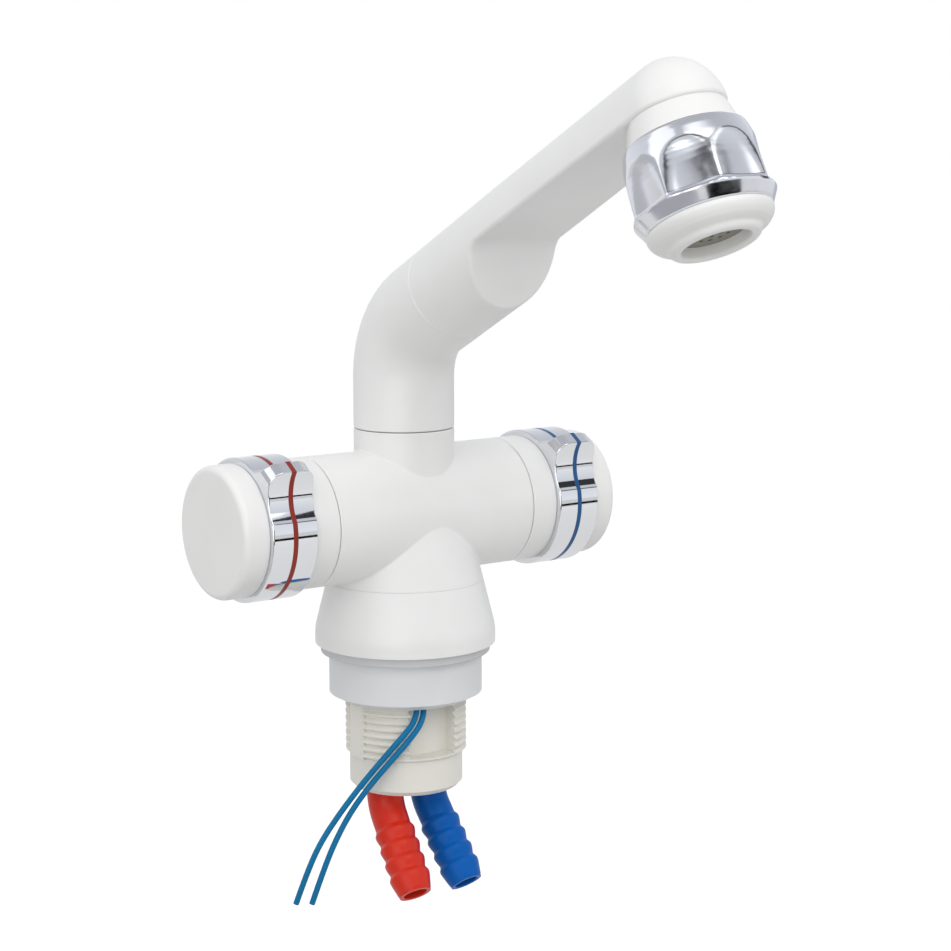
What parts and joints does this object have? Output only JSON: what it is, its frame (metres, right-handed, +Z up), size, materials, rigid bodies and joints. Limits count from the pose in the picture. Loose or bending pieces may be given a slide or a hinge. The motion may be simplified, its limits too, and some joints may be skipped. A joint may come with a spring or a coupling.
{
  "type": "mixer tap",
  "caption": "White mixer tap with a round crossbar, two chrome-banded handles that press pump switches, a rising swivel spout and a fluted spray outlet over a threaded shank.",
  "frame": {"origin": "centre of the base rim's seating face, on the deck the tap is mounted in", "axes": "+Z up out of the deck, +X along the crossbar to the cold handle, spout towards -Y"},
  "size_m": [0.1182, 0.1604, 0.2224],
  "materials": {
    "blue_plastic": "blue moulded plastic",
    "brass_turned": "turned brass",
    "cartridge_plastic": "natural acetal",
    "ceramic_disc": "lapped ceramic",
    "chrome_plate": "bright chrome-plated plastic",
    "crimp": "insulated crimp splice",
    "gasket_rubber": "pale elastomer",
    "nut_plastic": "cool grey-white moulded nylon",
    "red_plastic": "red moulded plastic",
    "seal_rubber": "black nitrile rubber",
    "shank_plastic": "off-white moulded acetal",
    "spray_grey": "beige-grey moulded insert",
    "steel": "stainless steel",
    "stripe_blue": "blue plastic ring",
    "stripe_red": "dark red plastic ring",
    "switch_black": "black thermoset switch case",
    "switch_button_red": "moulded switch plunger",
    "white_body": "white injection-moulded ABS, satin gloss",
    "wire_blue": "blue PVC wire insulation"
  },
  "bodies": {
    "tap": {"base_gasket": "gasket_rubber", "base_skirt": "white_body", "body_screws": "steel", "cartridge_seals": "seal_rubber", "cold_cartridge_body": "cartridge_plastic", "cold_gland_nut": "cartridge_plastic", "cold_hose_tail": "blue_plastic", "cold_microswitch": "switch_black", "cold_seat_disc": "ceramic_disc", "cold_switch_leads": "wire_blue", "hot_cartridge_body": "cartridge_plastic", "hot_gland_nut": "cartridge_plastic", "hot_hose_tail": "red_plastic", "hot_microswitch": "switch_black", "hot_seat_disc": "ceramic_disc", "hot_switch_leads": "wire_blue", "inlet_seals": "seal_rubber", "inlet_tubes": "cartridge_plastic", "inner_wires": "wire_blue", "mounting_nut": "nut_plastic", "switch_wire_a": "wire_blue", "switch_wire_b": "wire_blue", "tail_seals": "seal_rubber", "tap_body": "white_body", "threaded_shank": "shank_plastic", "wire_splices": "crimp"},
    "spout": {"spout_elbow": "white_body", "spout_arm": "white_body", "swivel_seals": "seal_rubber", "retaining_ring": "steel", "swivel_bush": "cartridge_plastic", "outlet_neck": "white_body", "nozzle_seal": "seal_rubber", "head_clip": "steel"},
    "spray_head": {"spray_ring": "chrome_plate", "spray_nozzle": "white_body", "spray_plate": "spray_grey", "strainer_screen": "steel", "flow_insert": "spray_grey"},
    "hot_handle": {"hot_handle_sleeve": "white_body", "hot_chrome_band": "chrome_plate", "hot_stripe": "stripe_red", "hot_end_cap": "white_body", "hot_spindle": "brass_turned", "hot_handle_screw": "steel", "hot_turning_disc": "ceramic_disc", "hot_spindle_seal": "seal_rubber", "hot_switch_cam": "cartridge_plastic"},
    "hot_button": {"hot_switch_button": "switch_button_red"},
    "cold_handle": {"cold_handle_sleeve": "white_body", "cold_chrome_band": "chrome_plate", "cold_stripe": "stripe_blue", "cold_end_cap": "white_body", "cold_spindle": "brass_turned", "cold_handle_screw": "steel", "cold_turning_disc": "ceramic_disc", "cold_spindle_seal": "seal_rubber", "cold_switch_cam": "cartridge_plastic"},
    "cold_button": {"cold_switch_button": "switch_button_red"}
  },
  "joints": [
    {"name": "spout_swivel", "type": "hinge", "parent": "tap", "child": "spout", "pos_m": [0, 0, 0.0583], "axis": [0, 0, 1], "continuous": true},
    {"name": "spray_select", "type": "hinge", "parent": "spout", "child": "spray_head", "pos_m": [0, -0.1106, 0.14023], "axis": [0, -0.4493, -0.8934], "range_deg": [0, 90]},
    {"name": "hot_handle_turn", "type": "hinge", "parent": "tap", "child": "hot_handle", "pos_m": [-0.045, 0, 0.0355], "axis": [1, 0, 0], "range_deg": [0, 90]},
    {"name": "cold_handle_turn", "type": "hinge", "parent": "tap", "child": "cold_handle", "pos_m": [0.045, 0, 0.0355], "axis": [1, 0, 0], "range_deg": [0, 90]},
    {"name": "hot_button_press", "type": "slide", "parent": "tap", "child": "hot_button", "axis": [0, 0, -1], "range_m": [0, 0.0005]},
    {"name": "cold_button_press", "type": "slide", "parent": "tap", "child": "cold_button", "axis": [0, 0, -1], "range_m": [0, 0.0005]}
  ],
  "couplings": [
    {"joint": "hot_button_press", "follows": "hot_handle_turn", "m_per_rad": 0.000318},
    {"joint": "cold_button_press", "follows": "cold_handle_turn", "m_per_rad": 0.000318}
  ]
}
